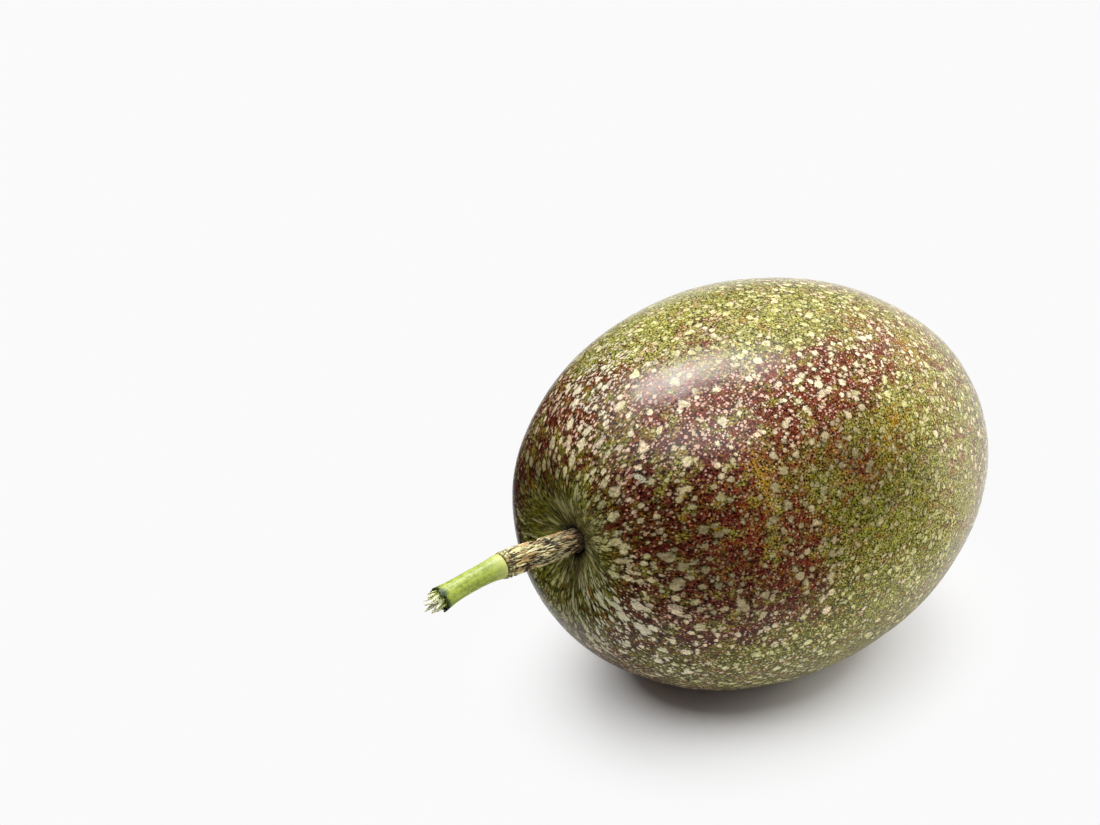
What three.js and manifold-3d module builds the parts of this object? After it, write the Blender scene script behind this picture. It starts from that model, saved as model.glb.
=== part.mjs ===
// A ripe passion fruit with its cut stalk, lying on its side on a small flat spot.
// Millimetres, +Z up. The origin is the middle of the flat spot, and the stalk points towards -X.
import * as THREE from 'three';
import { mergeVertices } from 'three/addons/utils/BufferGeometryUtils.js';
import Module from 'manifold-3d';

// Fruit: an egg of revolution about its long axis, with a slightly fuller stem half.
const GIRTH_RADIUS = 31;
const HALF_LENGTH = 40.7;
const STEM_SWELL = 0.049;
const STEM_END_TILT = THREE.MathUtils.degToRad(5);
const FLAT_SPOT_DEPTH = 0.55;

// Stem end: a wide shallow dimple with low lobes round it, set a little above the axis.
const DIMPLE_DEPTH = 5;
const DIMPLE_REACH = 8.4;
const DIMPLE_RISE = 0.85;
const LOBE_COUNT = 5;
const LOBE_HEIGHT = 0.22;
const LOBE_RING_RADIUS = 9;
const LOBE_RING_WIDTH = 5;

// Blossom end: a slight hollow with a small scar standing in it.
const BLOSSOM_HOLLOW_DEPTH = 0.7;
const BLOSSOM_HOLLOW_REACH = 4.5;
const SCAR_RADIUS = 1.2;
const SCAR_CROWN_RADIUS = 0.84;
const SCAR_HEIGHT = 0.45;
const BLOSSOM_SKIN_START = 0.075;

// Stalk: a corky length next to the fruit, then a fresh green length that ends in torn fibres.
const SEAT_DEPTH = 1;
const JOINT_GAP = 0.3;
const STALK_LIFT = THREE.MathUtils.degToRad(1.3);
const CORKY_LENGTH = 15;
const CORKY_ROOT_RADIUS = 1.72;
const CORKY_END_RADIUS = 2.02;
const CORKY_ROOT_CHAMFER = 0.4;
const COLLAR_LENGTH = 0.5;
const COLLAR_HEIGHT = 0.1;
const CORKY_RIDGES = 5;
const CORKY_RIDGE_HEIGHT = 0.12;
const SPIGOT_RADIUS = 1.1;
const SPIGOT_LENGTH = 0.8;
const GREEN_LENGTH = 11.2;
const GREEN_WAIST_RADIUS = 1.6;
const GREEN_FLARE_RADIUS = 1.95;
const GREEN_START_DROOP = THREE.MathUtils.degToRad(6);
const GREEN_END_DROOP = THREE.MathUtils.degToRad(17);
const TORN_CORE_RADIUS = 1.35;
const TORN_CORE_LENGTH = 3.4;
const TORN_TIP_RADIUS = 0.6;
const TORN_TIP_LENGTH = 0.8;

const FRUIT_RINGS = 34;
const FRUIT_SEGMENTS = 60;
const STALK_SEGMENTS = 20;
const STALK_RINGS = 10;
const MERGE_DISTANCE = 1e-4;
const EDGE_CLEARANCE = 0.1;

const wasm = await Module();
wasm.setup();

// Keeps only positions, merges shared vertices and drops the triangles that collapse at the poles.
function closed(geometry) {
  geometry.deleteAttribute('normal');
  geometry.deleteAttribute('uv');
  const merged = mergeVertices(geometry, MERGE_DISTANCE);
  const corners = merged.index.array;
  const kept = [];
  for (let i = 0; i < corners.length; i += 3) {
    const [a, b, c] = [corners[i], corners[i + 1], corners[i + 2]];
    if (a !== b && b !== c && c !== a) {
      kept.push(a, b, c);
    }
  }
  merged.setIndex(kept);
  return merged;
}

function moveVertices(geometry, move) {
  const position = geometry.attributes.position;
  const point = new THREE.Vector3();
  for (let i = 0; i < position.count; i += 1) {
    point.fromBufferAttribute(position, i);
    move(point);
    position.setXYZ(i, point.x, point.y, point.z);
  }
  return geometry;
}

function toSolid(geometry) {
  const vertProperties = new Float32Array(geometry.attributes.position.array);
  const triVerts = new Uint32Array(geometry.index.array);
  return new wasm.Manifold(new wasm.Mesh({ numProp: 3, vertProperties, triVerts }));
}

function toGeometry(solid) {
  const mesh = solid.getMesh();
  const geometry = new THREE.BufferGeometry();
  geometry.setAttribute('position', new THREE.BufferAttribute(mesh.vertProperties, 3));
  geometry.setIndex(new THREE.BufferAttribute(mesh.triVerts, 1));
  return geometry;
}

function bell(distance, reach) {
  return Math.exp(-((distance / reach) ** 2));
}

// One point of the egg's outline; turn runs from 0 at the stem pole to PI at the blossom pole.
function eggPoint(turn) {
  const along = HALF_LENGTH * Math.cos(turn);
  const out = GIRTH_RADIUS * Math.sin(turn) * (1 + STEM_SWELL * Math.cos(turn));
  return { along, out };
}

const stemPoleAlong = HALF_LENGTH - DIMPLE_DEPTH;
const seatRadius = CORKY_ROOT_RADIUS + CORKY_RIDGE_HEIGHT + JOINT_GAP;

// The outline from the blossom pole to the floor of the stalk's seat, in the fruit's own frame:
// x is the distance from the axis and y runs along it towards the stem.
function fruitOutline() {
  const hollowFloor = BLOSSOM_HOLLOW_DEPTH - HALF_LENGTH;
  const outline = [
    new THREE.Vector2(0, hollowFloor - SCAR_HEIGHT),
    new THREE.Vector2(SCAR_CROWN_RADIUS, hollowFloor - SCAR_HEIGHT),
    new THREE.Vector2(SCAR_RADIUS, hollowFloor),
  ];
  const firstTurn = Math.PI - BLOSSOM_SKIN_START;
  const lastTurn = Math.asin(seatRadius / GIRTH_RADIUS);
  for (let i = 0; i <= FRUIT_RINGS; i += 1) {
    const turn = THREE.MathUtils.lerp(firstTurn, lastTurn, i / FRUIT_RINGS);
    const { along, out } = eggPoint(turn);
    const dimple = along > 0 ? DIMPLE_DEPTH * bell(out, DIMPLE_REACH) : 0;
    const hollow = along < 0 ? BLOSSOM_HOLLOW_DEPTH * bell(out, BLOSSOM_HOLLOW_REACH) : 0;
    outline.push(new THREE.Vector2(out, along - dimple + hollow));
  }
  outline.push(new THREE.Vector2(seatRadius, stemPoleAlong - SEAT_DEPTH));
  outline.push(new THREE.Vector2(0, stemPoleAlong - SEAT_DEPTH));
  return outline;
}

// The fruit's own frame (y along the axis, z across it and upwards) turned so that it lies down.
const towardsStem = new THREE.Vector3(-Math.cos(STEM_END_TILT), 0, Math.sin(STEM_END_TILT));
const acrossUp = new THREE.Vector3(Math.sin(STEM_END_TILT), 0, Math.cos(STEM_END_TILT));
const sideways = new THREE.Vector3(0, 1, 0);

function lyingDown() {
  const lowest = new THREE.Vector3(0, 0, Infinity);
  const steps = 2000;
  for (let i = 0; i <= steps; i += 1) {
    const { along, out } = eggPoint((Math.PI * i) / steps);
    const point = towardsStem.clone().multiplyScalar(along).addScaledVector(acrossUp, -out);
    if (point.z < lowest.z) {
      lowest.copy(point);
    }
  }
  const placed = new THREE.Matrix4().makeBasis(sideways, towardsStem, acrossUp);
  return placed.setPosition(-lowest.x, 0, -lowest.z - FLAT_SPOT_DEPTH);
}

function makeFruit(placed) {
  const rind = closed(new THREE.LatheGeometry(fruitOutline(), FRUIT_SEGMENTS));
  moveVertices(rind, (point) => {
    const out = Math.hypot(point.x, point.z);
    if (point.y > 0 && out > seatRadius + EDGE_CLEARANCE) {
      const around = Math.atan2(point.x, point.z);
      const ring = bell(out - LOBE_RING_RADIUS, LOBE_RING_WIDTH);
      point.y += LOBE_HEIGHT * ring * Math.cos(LOBE_COUNT * around);
    }
    if (point.y > 0) {
      point.z += DIMPLE_RISE * bell(out, LOBE_RING_RADIUS);
    }
  });
  rind.applyMatrix4(placed);
  const below = new THREE.BoxGeometry(4 * HALF_LENGTH, 4 * GIRTH_RADIUS, GIRTH_RADIUS);
  below.translate(0, 0, -GIRTH_RADIUS / 2);
  return toGeometry(toSolid(rind).subtract(toSolid(closed(below))));
}

// A stalk length made straight along +Y from its outline of [distance along, radius] pairs.
function straightStalk(outline) {
  const points = outline.map(([along, radius]) => new THREE.Vector2(radius, along));
  return closed(new THREE.LatheGeometry(points, STALK_SEGMENTS));
}

function makeCorkyStalk() {
  const recessRadius = SPIGOT_RADIUS + JOINT_GAP;
  const recessFloor = CORKY_LENGTH - SPIGOT_LENGTH - JOINT_GAP;
  const collarStart = CORKY_LENGTH - COLLAR_LENGTH;
  const outline = [[0, 0], [0, CORKY_ROOT_RADIUS - CORKY_ROOT_CHAMFER]];
  for (let i = 0; i < STALK_RINGS; i += 1) {
    const share = i / STALK_RINGS;
    const along = THREE.MathUtils.lerp(CORKY_ROOT_CHAMFER, collarStart, share);
    outline.push([along, THREE.MathUtils.lerp(CORKY_ROOT_RADIUS, CORKY_END_RADIUS, share)]);
  }
  outline.push([collarStart, CORKY_END_RADIUS + COLLAR_HEIGHT], [CORKY_LENGTH, CORKY_END_RADIUS]);
  outline.push([CORKY_LENGTH, recessRadius], [recessFloor, recessRadius], [recessFloor, 0]);
  const stalk = straightStalk(outline);
  return moveVertices(stalk, (point) => {
    const out = Math.hypot(point.x, point.z);
    if (out > recessRadius + EDGE_CLEARANCE) {
      const ridge = CORKY_RIDGE_HEIGHT * Math.cos(CORKY_RIDGES * Math.atan2(point.x, point.z));
      point.x *= 1 + ridge / out;
      point.z *= 1 + ridge / out;
    }
  });
}

function makeGreenStalk() {
  const outline = [[-SPIGOT_LENGTH, 0], [-SPIGOT_LENGTH, SPIGOT_RADIUS], [0, SPIGOT_RADIUS]];
  for (let i = 0; i <= STALK_RINGS; i += 1) {
    const fromMiddle = Math.abs((2 * i) / STALK_RINGS - 1);
    const radius = THREE.MathUtils.lerp(GREEN_WAIST_RADIUS, GREEN_FLARE_RADIUS, fromMiddle ** 3);
    outline.push([(GREEN_LENGTH * i) / STALK_RINGS, radius]);
  }
  const tip = GREEN_LENGTH + TORN_CORE_LENGTH;
  outline.push([GREEN_LENGTH, TORN_CORE_RADIUS], [tip - TORN_TIP_LENGTH, TORN_CORE_RADIUS]);
  outline.push([tip, TORN_TIP_RADIUS], [tip, 0]);
  const stalk = straightStalk(outline);
  // The length bends down evenly, as an arc, from where it leaves the corky length.
  const bendPerMm = (GREEN_END_DROOP - GREEN_START_DROOP) / GREEN_LENGTH;
  return moveVertices(stalk, (point) => {
    const along = Math.max(point.y, 0);
    const turned = along * bendPerMm;
    const arcRadius = 1 / bendPerMm;
    const height = point.z;
    point.z = height * Math.cos(turned) - arcRadius * (1 - Math.cos(turned));
    point.y = Math.min(point.y, 0) + (arcRadius + height) * Math.sin(turned);
  });
}

function piece(name, geometry, color, roughness) {
  geometry.computeVertexNormals();
  const material = new THREE.MeshStandardMaterial({ color, roughness, metalness: 0 });
  const mesh = new THREE.Mesh(geometry, material);
  mesh.name = name;
  return mesh;
}

const placed = lyingDown();
const passionFruit = new THREE.Group();
passionFruit.add(piece('fruit', makeFruit(placed), 0x6b4436, 0.32));

const stalk = new THREE.Group();
stalk.applyMatrix4(placed);
stalk.translateZ(DIMPLE_RISE);
stalk.translateY(stemPoleAlong - SEAT_DEPTH + JOINT_GAP);
stalk.rotateX(STALK_LIFT);
stalk.add(piece('corky_stalk', makeCorkyStalk(), 0xb59a62, 0.85));

const greenLength = new THREE.Group();
greenLength.position.y = CORKY_LENGTH + JOINT_GAP;
greenLength.rotation.x = -GREEN_START_DROOP;
greenLength.add(piece('green_stalk', makeGreenStalk(), 0x9dc43c, 0.45));
stalk.add(greenLength);
passionFruit.add(stalk);

export default passionFruit;
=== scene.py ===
"""A passion fruit on its side with a length of cut stalk: its visible pieces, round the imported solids."""

import logging
import math
from dataclasses import dataclass, field
from enum import Enum
from typing import Callable, Sequence

import bpy
import numpy as np
from mathutils import Matrix, Vector, noise


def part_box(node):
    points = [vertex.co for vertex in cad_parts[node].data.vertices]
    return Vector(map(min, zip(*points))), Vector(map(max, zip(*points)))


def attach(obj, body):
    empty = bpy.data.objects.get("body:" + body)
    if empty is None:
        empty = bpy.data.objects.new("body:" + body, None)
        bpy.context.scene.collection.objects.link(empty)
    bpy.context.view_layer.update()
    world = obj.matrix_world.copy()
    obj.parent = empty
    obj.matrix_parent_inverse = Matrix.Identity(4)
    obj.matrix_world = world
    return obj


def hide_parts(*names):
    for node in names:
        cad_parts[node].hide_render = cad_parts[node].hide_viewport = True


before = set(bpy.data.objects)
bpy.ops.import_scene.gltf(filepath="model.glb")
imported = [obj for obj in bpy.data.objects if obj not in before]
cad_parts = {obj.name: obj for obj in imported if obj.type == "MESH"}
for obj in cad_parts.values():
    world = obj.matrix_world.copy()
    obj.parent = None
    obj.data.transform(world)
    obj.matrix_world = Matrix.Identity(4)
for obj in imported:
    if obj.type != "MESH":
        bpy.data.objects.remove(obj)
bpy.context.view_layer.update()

MM = 0.001
ROOT = "root"
logging.basicConfig(level=logging.INFO, format="%(message)s")
log = logging.getLogger("passion_fruit")

STALK_CLEARANCE = 0.3
STALK_RISE = math.radians(1.3)
SIDEWAYS = np.array([0.0, 1.0, 0.0])
UP = Vector((0, 0, 1))
WHITE = (1.0, 1.0, 1.0, 1.0)

Array = np.ndarray
Colour = tuple[float, float, float, float]
Socket = bpy.types.NodeSocket


def paint(shade: str) -> Colour:
    """Turns a screen colour into the linear one that a shader takes.

    Args:
        shade: six hexadecimal digits, red first.

    Returns:
        The linear red, green and blue, and an alpha of 1.
    """
    parts = [int(shade[i : i + 2], 16) / 255 for i in (0, 2, 4)]
    linear = [p / 12.92 if p <= 0.04045 else ((p + 0.055) / 1.055) ** 2.4 for p in parts]
    return (linear[0], linear[1], linear[2], 1.0)


def bell(distance: Array | float, reach: float) -> Array | float:
    """A bump of height 1 that fades over the reach."""
    return np.exp(-((distance / reach) ** 2))


def ease(low: float, high: float, value: Array) -> Array:
    """Rises smoothly from 0 at low to 1 at high.

    Args:
        low: the value at which the rise begins.
        high: the value at which it ends.
        value: where to read it.

    Returns:
        The height of the rise at each value.
    """
    share = np.clip((value - low) / (high - low), 0.0, 1.0)
    return share * share * (3.0 - 2.0 * share)


def circle(around: int) -> Array:
    """The angles of that many corners spaced evenly round a ring."""
    return np.arange(around) * 2 * math.pi / around


def bands(distance: Array, rows: Sequence[tuple[float, float, float]]) -> Array:
    """Adds up narrow bumps, each given by its place, its width and its height."""
    return sum(height * bell(distance - place, width) for place, width, height in rows)


@dataclass(frozen=True)
class Ripple:
    """Gentle random waves of about one length, the same on each run."""

    length: float
    height: float
    seed: int
    waves: int = 36
    spread: tuple[float, float] = (0.75, 1.4)
    calming: float = 1.6

    def at(self, points: Array) -> Array:
        """Reads the waves.

        Args:
            points: places, one row each.

        Returns:
            A height for each place, mostly within the ripple's own height.
        """
        draw = np.random.default_rng(self.seed)
        way = draw.normal(size=(self.waves, 3))
        way /= np.linalg.norm(way, axis=1, keepdims=True)
        pace = 2 * np.pi / (self.length * draw.uniform(*self.spread, self.waves))
        start = draw.uniform(0, 2 * np.pi, self.waves)
        total = np.zeros(len(points))
        for k in range(self.waves):
            total += np.sin(points @ (way[k] * pace[k]) + start[k])
        return total * self.height / math.sqrt(self.waves / 2) / self.calming


class NodeBench:
    """A node tree with short ways to add nodes and join them."""

    def __init__(self, tree: bpy.types.NodeTree) -> None:
        """Takes the tree to work on."""
        self.tree = tree

    def add(self, kind: str, inputs: dict | None = None, **settings: object) -> bpy.types.Node:
        """Adds a node.

        Args:
            kind: the node's type.
            inputs: socket names or numbers, each with a value or with the socket that feeds it.
            **settings: the node's own settings.

        Returns:
            The new node.
        """
        node = self.tree.nodes.new(kind)
        for name, value in settings.items():
            setattr(node, name, value)
        for name, value in (inputs or {}).items():
            if isinstance(value, Socket):
                self.tree.links.new(value, node.inputs[name])
            else:
                node.inputs[name].default_value = value
        return node

    def math(self, operation: str, *terms: Socket | float, clamp: bool = False) -> Socket:
        """Adds a sum, product or other step of arithmetic.

        Args:
            operation: what it does, as the Math node names it.
            *terms: its inputs in order.
            clamp: whether the result stays between 0 and 1.

        Returns:
            The result's socket.
        """
        node = self.add("ShaderNodeMath", dict(enumerate(terms)), operation=operation)
        node.use_clamp = clamp
        return node.outputs[0]

    def rest(self, share: Socket | float, clamp: bool = False) -> Socket:
        """What a share leaves of 1."""
        return self.math("SUBTRACT", 1.0, share, clamp=clamp)

    def times(self, value: Socket | float, by: Socket | float) -> Socket:
        """Multiplies two numbers."""
        return self.math("MULTIPLY", value, by)

    def line(self, value: Socket | float, slope: Socket | float, start: Socket | float,
             clamp: bool = False) -> Socket:
        """Follows a straight line.

        Args:
            value: what is read.
            slope: how fast the line climbs.
            start: where it is when the value is 0.
            clamp: whether the result stays between 0 and 1.

        Returns:
            The result's socket.
        """
        return self.math("MULTIPLY_ADD", value, slope, start, clamp=clamp)

    def vector(self, operation: str, *terms: Socket | Sequence[float]) -> Socket:
        """Adds a step of vector arithmetic that gives a vector."""
        return self.add("ShaderNodeVectorMath", dict(enumerate(terms)), operation=operation).outputs[0]

    def scaled(self, place: Socket, size: Socket | float) -> Socket:
        """Scales a vector by one number."""
        return self.add("ShaderNodeVectorMath", {0: place, "Scale": size}, operation="SCALE").outputs[0]

    def dot(self, one: Socket, other: Socket | Vector) -> Socket:
        """How far one vector goes along the other."""
        return self.add("ShaderNodeVectorMath", {0: one, 1: other}, operation="DOT_PRODUCT").outputs["Value"]

    def length(self, one: Socket) -> Socket:
        """A vector's length."""
        return self.add("ShaderNodeVectorMath", {0: one}, operation="LENGTH").outputs["Value"]

    def rise(self, value: Socket, low: Socket | float, high: Socket | float) -> Socket:
        """Rises smoothly from 0 to 1.

        Args:
            value: what is read.
            low: where the rise begins.
            high: where it ends.

        Returns:
            The result's socket.
        """
        inputs = {"Value": value, "From Min": low, "From Max": high}
        return self.add("ShaderNodeMapRange", inputs, interpolation_type="SMOOTHSTEP").outputs[0]

    def blend(self, share: Socket | float, under: Socket | Colour, over: Socket | Colour) -> Socket:
        """Lays one colour over another.

        Args:
            share: how much of the upper colour shows.
            under: the lower colour.
            over: the upper colour.

        Returns:
            The mixed colour's socket.
        """
        inputs = {0: share, 6: under, 7: over}
        return self.add("ShaderNodeMix", inputs, data_type="RGBA").outputs[2]

    def field(self, name: str, output: str = "Fac") -> Socket:
        """Reads a field that the mesh carries."""
        return self.add("ShaderNodeAttribute", attribute_name=name).outputs[output]

    def cloud(self, place: Socket, scale: float, detail: float = 2.0, rough: float = 0.5) -> bpy.types.Node:
        """Adds cloudy noise.

        Args:
            place: where it is read.
            scale: how many blobs there are to each unit of length.
            detail: how many finer layers it has.
            rough: how strong the finer layers are.

        Returns:
            The noise's node, which gives a number and a colour.
        """
        inputs = {"Vector": place, "Scale": scale, "Detail": detail, "Roughness": rough}
        return self.add("ShaderNodeTexNoise", inputs)

    def noise(self, place: Socket, size: float, detail: float = 2.0, rough: float = 0.5) -> Socket:
        """Reads cloudy noise as a number, with its size in millimetres from blob to blob."""
        return self.cloud(place, 1 / size, detail, rough).outputs["Fac"]

    def wander(self, noise_node: bpy.types.Node, reach: Socket | float) -> Socket:
        """Turns noise into a shift to any side, as far as the reach."""
        return self.scaled(self.vector("SUBTRACT", noise_node.outputs["Color"], (0.5, 0.5, 0.5)), reach)


@dataclass(frozen=True)
class Effect:
    """A node group that materials share: its name, inputs, outputs and how its inside is wired."""

    name: str
    inputs: dict[str, tuple[str, float]]
    outputs: dict[str, str]
    wire: Callable[[NodeBench, bpy.types.Node], dict[str, Socket]]

    def tree(self) -> bpy.types.NodeTree:
        """Builds the group once and finds it again after that.

        Returns:
            The group's tree.
        """
        made = bpy.data.node_groups.get(self.name)
        if made:
            return made
        made = bpy.data.node_groups.new(self.name, "ShaderNodeTree")
        for name, (kind, usual) in self.inputs.items():
            socket = made.interface.new_socket(name, in_out="INPUT", socket_type=kind)
            if kind == "NodeSocketFloat":
                socket.default_value = usual
        for name, kind in self.outputs.items():
            made.interface.new_socket(name, in_out="OUTPUT", socket_type=kind)
        bench = NodeBench(made)
        results = self.wire(bench, made.nodes.new("NodeGroupInput"))
        bench.add("NodeGroupOutput", dict(results))
        return made

    def place(self, bench: NodeBench, **inputs: Socket | float) -> bpy.types.Node:
        """Places the group in a material.

        Args:
            bench: the material's nodes.
            **inputs: the group's inputs by name.

        Returns:
            The placed group node.
        """
        return bench.add("ShaderNodeGroup", inputs, node_tree=self.tree())


def wire_speckles(bench: NodeBench, given: bpy.types.Node) -> dict[str, Socket]:
    """Spots with ragged edges, some large and some small, in a share of the places they could be.

    Args:
        bench: the group's nodes.
        given: the group's inputs.

    Returns:
        The spots' mask, the rim close round them, the halo further out, and each spot's own tone.
    """
    inverse = bench.math("DIVIDE", 1.0, given.outputs["Spacing"])
    place = bench.scaled(given.outputs["Place"], inverse)
    shift = bench.wander(bench.cloud(place, 2.1, 4.0, 0.72), given.outputs["Ragged"])
    ragged = bench.vector("ADD", place, shift)
    cells = bench.add("ShaderNodeTexVoronoi", {"Vector": ragged, "Scale": 1.0, "Randomness": 0.9})
    own = bench.add("ShaderNodeSeparateColor", {0: cells.outputs["Color"]})
    lack = bench.math("DIVIDE", own.outputs[0], bench.math("MAXIMUM", given.outputs["Share"], 0.01))
    size = bench.math("POWER", bench.rest(lack, clamp=True), given.outputs["Variety"])
    radius = bench.times(size, given.outputs["Radius"])
    frayed = bench.math("SUBTRACT", bench.cloud(place, 6.0, 2.0, 0.6).outputs["Fac"], 0.5)
    frayed = bench.line(frayed, given.outputs["Fray"], cells.outputs["Distance"])
    inner = bench.math("SUBTRACT", radius, given.outputs["Soft"])
    outer = bench.math("ADD", radius, given.outputs["Soft"])
    inside = bench.rest(bench.rise(frayed, inner, outer))
    close = bench.math("ADD", outer, 0.12)
    rim = bench.rest(bench.rise(frayed, radius, close))
    wide = bench.math("ADD", outer, 0.22)
    around = bench.rest(bench.rise(cells.outputs["Distance"], inner, wide))
    real = bench.rise(size, 0.0, 0.3)
    return {
        "Mask": bench.times(inside, real),
        "Rim": bench.times(rim, real),
        "Halo": bench.times(around, real),
        "Tone": own.outputs[1],
    }


def wire_mottle(bench: NodeBench, given: bpy.types.Node) -> dict[str, Socket]:
    """Turns a smooth field into patches with lobed, broken edges.

    Args:
        bench: the group's nodes.
        given: the group's inputs.

    Returns:
        The patches' mask.
    """
    place = bench.scaled(given.outputs["Place"], bench.math("DIVIDE", 1.0, given.outputs["Size"]))
    warped = bench.vector("ADD", place, bench.wander(bench.cloud(place, 0.8, 1.0), 1.3))
    swing = bench.math("SUBTRACT", bench.cloud(warped, 1.0, 5.0, 0.72).outputs["Fac"], 0.5)
    level = bench.line(swing, given.outputs["Break"], given.outputs["Field"])
    low = bench.math("SUBTRACT", 0.5, given.outputs["Soft"])
    high = bench.math("ADD", 0.5, given.outputs["Soft"])
    return {"Mask": bench.rise(level, low, high)}


def wire_grain(bench: NodeBench, given: bpy.types.Node) -> dict[str, Socket]:
    """Fine grain for flecks, bumps and roughness.

    Args:
        bench: the group's nodes.
        given: the group's inputs.

    Returns:
        The grain's height.
    """
    place = bench.scaled(given.outputs["Place"], bench.math("DIVIDE", 1.0, given.outputs["Size"]))
    return {"Height": bench.cloud(place, 1.0, 3.0, 0.55).outputs["Fac"]}


def wire_sliver(bench: NodeBench, given: bpy.types.Node) -> dict[str, Socket]:
    """A thin mark with rough edges that tapers to both ends.

    Args:
        bench: the group's nodes.
        given: the group's inputs.

    Returns:
        The mark's mask.
    """
    place, reach = given.outputs["Place"], given.outputs["Reach"]
    wobbly = bench.vector("ADD", place, bench.wander(bench.cloud(place, 3.5, 3.0), 0.5))
    off = bench.vector("SUBTRACT", wobbly, given.outputs["Middle"])
    share = bench.math("DIVIDE", bench.dot(off, reach), bench.dot(reach, reach))
    side = bench.length(bench.vector("SUBTRACT", off, bench.scaled(reach, share)))
    taper = bench.rest(bench.times(share, share), clamp=True)
    edge = bench.line(taper, given.outputs["Width"], 0.01)
    inside = bench.rest(bench.rise(side, bench.times(edge, 0.6), edge))
    solid = bench.line(bench.rise(bench.cloud(place, 7.0).outputs["Fac"], 0.4, 0.52), 0.8, 0.2)
    return {"Mask": bench.times(bench.times(inside, solid), bench.rise(taper, 0.0, 0.2))}


def wire_fibres(bench: NodeBench, given: bpy.types.Node) -> dict[str, Socket]:
    """Thin streaks along a stalk, from its own place along and round it.

    Args:
        bench: the group's nodes.
        given: the group's inputs.

    Returns:
        The streaks' height.
    """
    parts = bench.add("ShaderNodeSeparateXYZ", {0: given.outputs["Place"]})
    drawn_out = bench.math("DIVIDE", parts.outputs[1], given.outputs["Stretch"])
    place = bench.add("ShaderNodeCombineXYZ", {0: parts.outputs[0], 1: drawn_out, 2: parts.outputs[2]})
    scaled = bench.scaled(place.outputs[0], bench.math("DIVIDE", 1.0, given.outputs["Size"]))
    return {"Streak": bench.cloud(scaled, 1.0, 3.0, 0.6).outputs["Fac"]}


FLOAT, PLACE = "NodeSocketFloat", "NodeSocketVector"
SPECKLES = Effect(
    "speckles",
    {"Place": (PLACE, 0), "Spacing": (FLOAT, 2), "Radius": (FLOAT, 0.35), "Share": (FLOAT, 0.6),
     "Variety": (FLOAT, 0.5), "Ragged": (FLOAT, 0.3), "Fray": (FLOAT, 0.5), "Soft": (FLOAT, 0.05)},
    {"Mask": FLOAT, "Rim": FLOAT, "Halo": FLOAT, "Tone": FLOAT},
    wire_speckles,
)
MOTTLE = Effect(
    "mottle",
    {"Place": (PLACE, 0), "Size": (FLOAT, 5), "Field": (FLOAT, 0.5), "Break": (FLOAT, 1),
     "Soft": (FLOAT, 0.1)},
    {"Mask": FLOAT},
    wire_mottle,
)
GRAIN = Effect("grain", {"Place": (PLACE, 0), "Size": (FLOAT, 0.3)}, {"Height": FLOAT}, wire_grain)
SLIVER = Effect(
    "sliver", {"Place": (PLACE, 0), "Middle": (PLACE, 0), "Reach": (PLACE, 0), "Width": (FLOAT, 0.2)},
    {"Mask": FLOAT}, wire_sliver,
)
FIBRES = Effect(
    "fibres", {"Place": (PLACE, 0), "Size": (FLOAT, 0.3), "Stretch": (FLOAT, 12)},
    {"Streak": FLOAT}, wire_fibres,
)


def new_material(name: str) -> tuple[bpy.types.Material, NodeBench, bpy.types.Node]:
    """Makes an empty material.

    Args:
        name: its name.

    Returns:
        The material, its nodes, and its main shader joined to the output.
    """
    material = bpy.data.materials.new(name)
    material.use_nodes = True
    material.node_tree.nodes.clear()
    bench = NodeBench(material.node_tree)
    shader = bench.add("ShaderNodeBsdfPrincipled")
    bench.add("ShaderNodeOutputMaterial", {"Surface": shader.outputs[0]})
    return material, bench, shader


def dress(bench: NodeBench, shader: bpy.types.Node, colour: Socket, rough: Socket, height: Socket,
          depth: float) -> None:
    """Gives the main shader its colour, its roughness and its small bumps.

    Args:
        bench: the material's nodes.
        shader: the main shader.
        colour: the skin's colour.
        rough: its roughness.
        height: the height of its bumps, about 0 to 1.
        depth: how deep they are, in millimetres.
    """
    bump = bench.add("ShaderNodeBump", {"Height": height, "Distance": depth * MM})
    for name, source in (("Base Color", colour), ("Roughness", rough), ("Normal", bump.outputs[0])):
        bench.tree.links.new(source, shader.inputs[name])


class Tint(Enum):
    """The fields that a blush can add to."""

    WINE = "wine"
    DEEP = "deep"
    LEAF = "leaf"
    OCHRE = "ochre"
    PALE = "pale"
    DENSE = "dense"
    BOLD = "bold"
    FAINT = "faint"


USUAL = {
    Tint.WINE: 0.4,
    Tint.DEEP: 0.3,
    Tint.LEAF: 0.35,
    Tint.OCHRE: 0.15,
    Tint.PALE: 0.25,
    Tint.DENSE: 0.5,
    Tint.BOLD: 0.4,
    Tint.FAINT: 0.0,
}


@dataclass(frozen=True)
class Blush:
    """A soft patch that adds to one tint's field on the rind, or takes from it where strength is negative.

    from_stem is measured along the skin, and turn is in degrees round the long axis, from the top towards
    the front. along and around are how far the patch reaches. Lengths are in millimetres.
    """

    tint: Tint
    from_stem: float
    turn: float
    along: float
    around: float
    strength: float


@dataclass(frozen=True)
class Nick:
    """A thin mark on the rind between two places, each given by its distance from the stem and its turn."""

    shade: Colour
    start: tuple[float, float]
    end: tuple[float, float]
    width: float
    lift: float


@dataclass(frozen=True)
class SpotLayer:
    """One size of spot.

    spacing is in millimetres and radius is a share of it. least is the share of the places that hold a spot
    where none are called for, and more is what a field of 1 adds. variety spreads the sizes, ragged, fray
    and soft shape the edge, and strength is how well the spot covers.
    """

    spacing: float
    radius: float
    least: float
    more: float
    variety: float
    ragged: float
    fray: float
    soft: float
    strength: float


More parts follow.
